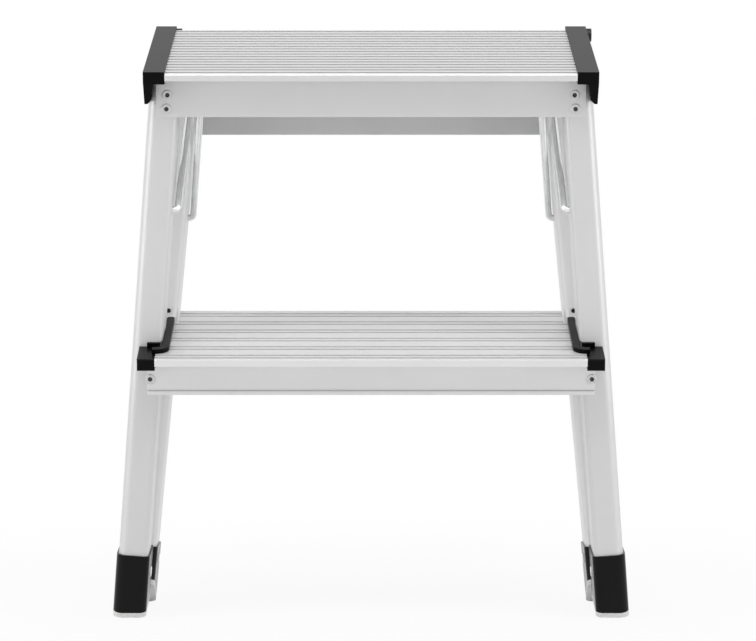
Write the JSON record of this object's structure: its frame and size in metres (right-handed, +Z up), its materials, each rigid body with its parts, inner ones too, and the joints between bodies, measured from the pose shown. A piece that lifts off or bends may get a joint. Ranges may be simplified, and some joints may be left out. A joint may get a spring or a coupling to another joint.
{
  "type": "folding step stool",
  "caption": "Folding aluminium step stool with a ribbed platform and lower tread, black plastic end caps and feet, a hinged rear frame and folding rod spreaders.",
  "frame": {"origin": "on the floor under the middle of the folded stool's bounding box", "axes": "+Z up, +X to the right as seen from the front, +Y from the front treads to the rear frame"},
  "size_m": [0.4576, 0.1864, 0.5262],
  "materials": {
    "satin_aluminium": "satin extruded",
    "black_plastic": "fine moulded grain",
    "grey_rubber": "matt",
    "bright_steel": "bright zinc plated",
    "pin_steel": "plain",
    "rivet_aluminium": "bright",
    "black_rubber": "matt"
  },
  "bodies": {
    "front_frame": {"platform": "satin_aluminium", "lower_step": "satin_aluminium", "platform_rivets": "rivet_aluminium", "step_rivets": "rivet_aluminium", "front_foot_rivets": "rivet_aluminium", "platform_cap_left": "black_plastic", "front_leg_left": "satin_aluminium", "step_cap_left": "black_plastic", "front_foot_left": "black_plastic", "front_sole_left": "grey_rubber", "hinge_pin_left": "pin_steel", "platform_cap_right": "black_plastic", "front_leg_right": "satin_aluminium", "step_cap_right": "black_plastic", "front_foot_right": "black_plastic", "front_sole_right": "grey_rubber", "hinge_pin_right": "pin_steel"},
    "rear_frame": {"rear_panel": "satin_aluminium", "rear_foot_rivets": "rivet_aluminium", "rear_panel_rivets": "rivet_aluminium", "bumpers": "black_rubber", "rear_leg_left": "satin_aluminium", "hinge_head_left": "black_plastic", "rear_foot_left": "black_plastic", "rear_sole_left": "grey_rubber", "rear_leg_right": "satin_aluminium", "hinge_head_right": "black_plastic", "rear_foot_right": "black_plastic", "rear_sole_right": "grey_rubber"},
    "front_link_left": {"front_link_left": "bright_steel"},
    "rear_link_left": {"rear_link_left": "bright_steel"},
    "front_link_right": {"front_link_right": "bright_steel"},
    "rear_link_right": {"rear_link_right": "bright_steel"}
  },
  "joints": [
    {"name": "rear_fold", "type": "hinge", "parent": "front_frame", "child": "rear_frame", "pos_m": [0, 0.07788, 0.51805], "axis": [1, 0, 0], "range_deg": [0, 38.85]},
    {"name": "front_link_left_pivot", "type": "hinge", "parent": "front_frame", "child": "front_link_left", "pos_m": [-0.1737, -0.03362, 0.36033], "axis": [1, 0, 0], "range_deg": [-45.56, 0]},
    {"name": "rear_link_left_pivot", "type": "hinge", "parent": "rear_frame", "child": "rear_link_left", "pos_m": [-0.1662, 0.07029, 0.35215], "axis": [1, 0, 0], "range_deg": [0, 28.65]},
    {"name": "front_link_right_pivot", "type": "hinge", "parent": "front_frame", "child": "front_link_right", "pos_m": [0.1737, -0.03362, 0.36033], "axis": [1, 0, 0], "range_deg": [-45.56, 0]},
    {"name": "rear_link_right_pivot", "type": "hinge", "parent": "rear_frame", "child": "rear_link_right", "pos_m": [0.1662, 0.07029, 0.35215], "axis": [1, 0, 0], "range_deg": [0, 28.65]}
  ],
  "couplings": [
    {"joint": "front_link_left_pivot", "follows": "rear_fold", "ratio": -1.1728},
    {"joint": "rear_link_left_pivot", "follows": "rear_fold", "ratio": 0.7375},
    {"joint": "front_link_right_pivot", "follows": "rear_fold", "ratio": -1.1728},
    {"joint": "rear_link_right_pivot", "follows": "rear_fold", "ratio": 0.7375}
  ]
}
